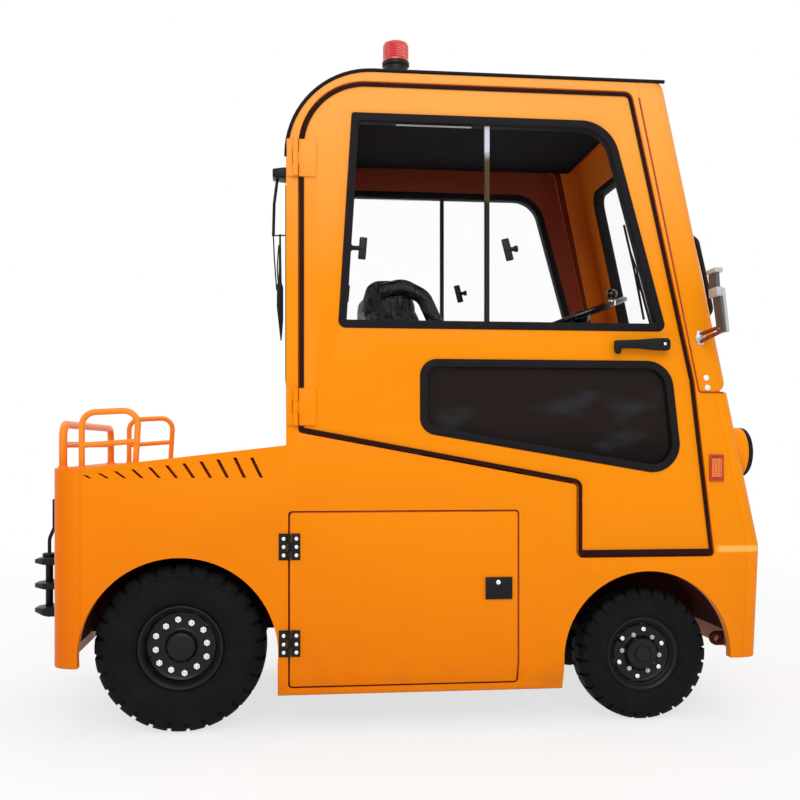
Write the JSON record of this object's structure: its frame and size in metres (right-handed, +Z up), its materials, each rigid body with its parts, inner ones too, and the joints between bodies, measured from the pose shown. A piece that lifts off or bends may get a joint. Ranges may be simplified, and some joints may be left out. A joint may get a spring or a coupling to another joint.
{
  "type": "airport baggage tug",
  "caption": "Compact baggage tug with an orange sheet-metal body, tall enclosed cab with raked front, hinged doors, low vented rear deck, tube guard and tow hitch.",
  "frame": {"origin": "on the ground under the middle of the overall box", "axes": "+X forward, +Y to the vehicle's left, +Z up"},
  "size_m": [2.674, 1.4, 2.43],
  "materials": {
    "body_paint": "gloss orange paint",
    "inner_paint": "satin orange paint",
    "liner_paint": "dull dark red paint",
    "chassis_paint": "satin black paint",
    "battery_case": "satin dark paint",
    "black_metal": "satin black paint",
    "black_rubber": "matte",
    "tyre_rubber": "matte",
    "clear_glass": "clear",
    "grey_plastic": "satin",
    "black_plastic": "satin",
    "seat_vinyl": "satin vinyl",
    "red_lens": "clear red",
    "amber_lens": "orange red",
    "lamp_lens": "clear"
  },
  "bodies": {
    "chassis": {"arch_liners": "liner_paint", "axles": "chassis_paint", "battery_pack": "battery_case", "beacon_base": "black_plastic", "beacon_lens": "red_lens", "body_side_left": "body_paint", "body_side_right": "body_paint", "cab_floor": "inner_paint", "cab_glass": "clear_glass", "cab_rear_wall": "body_paint", "cab_roof": "body_paint", "dash_console": "black_plastic", "frame_crossmembers": "chassis_paint", "frame_rails": "chassis_paint", "glass_seals": "black_rubber", "headlamp_lenses": "lamp_lens", "headlamps": "body_paint", "leaf_springs": "chassis_paint", "marker_lamps": "amber_lens", "mirrors": "grey_plastic", "nose_panel": "body_paint", "rear_deck": "body_paint", "rear_guard": "body_paint", "rear_panel": "body_paint", "seat_base": "black_metal", "seat_cushions": "seat_vinyl", "service_hinges": "black_metal", "steering_wheel": "black_plastic", "tow_hitch": "black_metal", "tow_lugs": "chassis_paint", "windscreen_frame": "body_paint", "wipers_and_grab_bars": "black_metal"},
    "door_right": {"door_panel_right": "body_paint", "door_seal_right": "black_rubber", "door_trim_right": "black_rubber", "door_glass_right": "clear_glass"},
    "service_door_right": {"service_door_right": "body_paint", "service_hardware_right": "black_metal"},
    "rear_wheel_right": {"tyre_rear_right": "tyre_rubber", "rim_rear_right": "black_metal"},
    "front_wheel_right": {"tyre_front_right": "tyre_rubber", "rim_front_right": "black_metal"},
    "front_knuckle_right": {"steering_knuckle_right": "chassis_paint"},
    "door_left": {"door_panel_left": "body_paint", "door_seal_left": "black_rubber", "door_trim_left": "black_rubber", "door_glass_left": "clear_glass"},
    "service_door_left": {"service_door_left": "body_paint", "service_hardware_left": "black_metal"},
    "rear_wheel_left": {"tyre_rear_left": "tyre_rubber", "rim_rear_left": "black_metal"},
    "front_wheel_left": {"tyre_front_left": "tyre_rubber", "rim_front_left": "black_metal"},
    "front_knuckle_left": {"steering_knuckle_left": "chassis_paint"},
    "hitch_pin": {"hitch_pin": "black_metal"}
  },
  "joints": [
    {"name": "door_right_hinge", "type": "hinge", "parent": "chassis", "child": "door_right", "pos_m": [-0.344, -0.562, 1.5], "axis": [0, 0, -1], "range_deg": [0, 80]},
    {"name": "service_door_right_hinge", "type": "hinge", "parent": "chassis", "child": "service_door_right", "pos_m": [-0.366, -0.557, 0.46], "axis": [0, 0, -1], "range_deg": [0, 90]},
    {"name": "rear_wheel_right_spin", "type": "hinge", "parent": "chassis", "child": "rear_wheel_right", "pos_m": [-0.738, -0.422, 0.295], "axis": [0, 1, 0], "continuous": true},
    {"name": "steer_right", "type": "hinge", "parent": "chassis", "child": "front_knuckle_right", "pos_m": [0.908, -0.33, 0.238], "axis": [0, 0, 1], "range_deg": [-30, 30]},
    {"name": "front_wheel_right_spin", "type": "hinge", "parent": "front_knuckle_right", "child": "front_wheel_right", "pos_m": [0.908, -0.44, 0.238], "axis": [0, 1, 0], "continuous": true},
    {"name": "door_left_hinge", "type": "hinge", "parent": "chassis", "child": "door_left", "pos_m": [-0.344, 0.562, 1.5], "axis": [0, 0, 1], "range_deg": [0, 80]},
    {"name": "service_door_left_hinge", "type": "hinge", "parent": "chassis", "child": "service_door_left", "pos_m": [-0.366, 0.557, 0.46], "axis": [0, 0, 1], "range_deg": [0, 90]},
    {"name": "rear_wheel_left_spin", "type": "hinge", "parent": "chassis", "child": "rear_wheel_left", "pos_m": [-0.738, 0.422, 0.295], "axis": [0, 1, 0], "continuous": true},
    {"name": "steer_left", "type": "hinge", "parent": "chassis", "child": "front_knuckle_left", "pos_m": [0.908, 0.33, 0.238], "axis": [0, 0, 1], "range_deg": [-30, 30]},
    {"name": "front_wheel_left_spin", "type": "hinge", "parent": "front_knuckle_left", "child": "front_wheel_left", "pos_m": [0.908, 0.44, 0.238], "axis": [0, 1, 0], "continuous": true},
    {"name": "hitch_pin_lift", "type": "slide", "parent": "chassis", "child": "hitch_pin", "axis": [0, 0, 1], "range_m": [0, 0.2]}
  ],
  "couplings": [
    {"joint": "steer_right", "follows": "steer_left", "ratio": 1}
  ]
}
